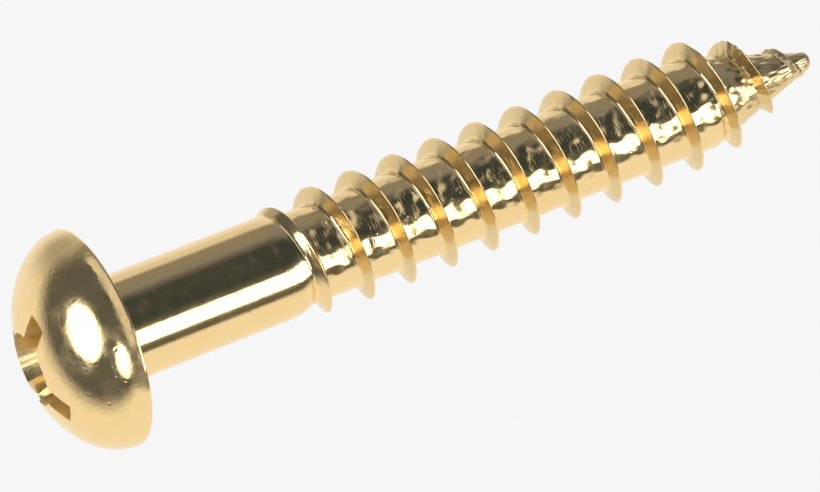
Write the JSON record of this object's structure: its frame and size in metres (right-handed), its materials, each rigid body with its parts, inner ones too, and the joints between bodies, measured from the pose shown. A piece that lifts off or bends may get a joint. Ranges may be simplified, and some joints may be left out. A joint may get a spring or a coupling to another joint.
{
  "type": "wood screw",
  "caption": "Round-head wood screw with a cross recess, plain shank, coarse right-hand thread and gimlet point, in bright gold plate.",
  "frame": {"origin": "on the screw's axis, in the plane of the head's flat underside, where the screw enters the wood", "axes": "+Z along the axis from the point towards the head's dome; the shank and thread run down -Z; +X and +Y complete a right-handed frame with no preferred turn"},
  "size_m": [0.0062, 0.0062, 0.0241],
  "materials": {
    "gold_plate": "polished"
  },
  "bodies": {
    "root": {"head": "gold_plate", "shank": "gold_plate", "thread_runout": "gold_plate", "thread": "gold_plate", "point": "gold_plate"}
  },
  "joints": []
}
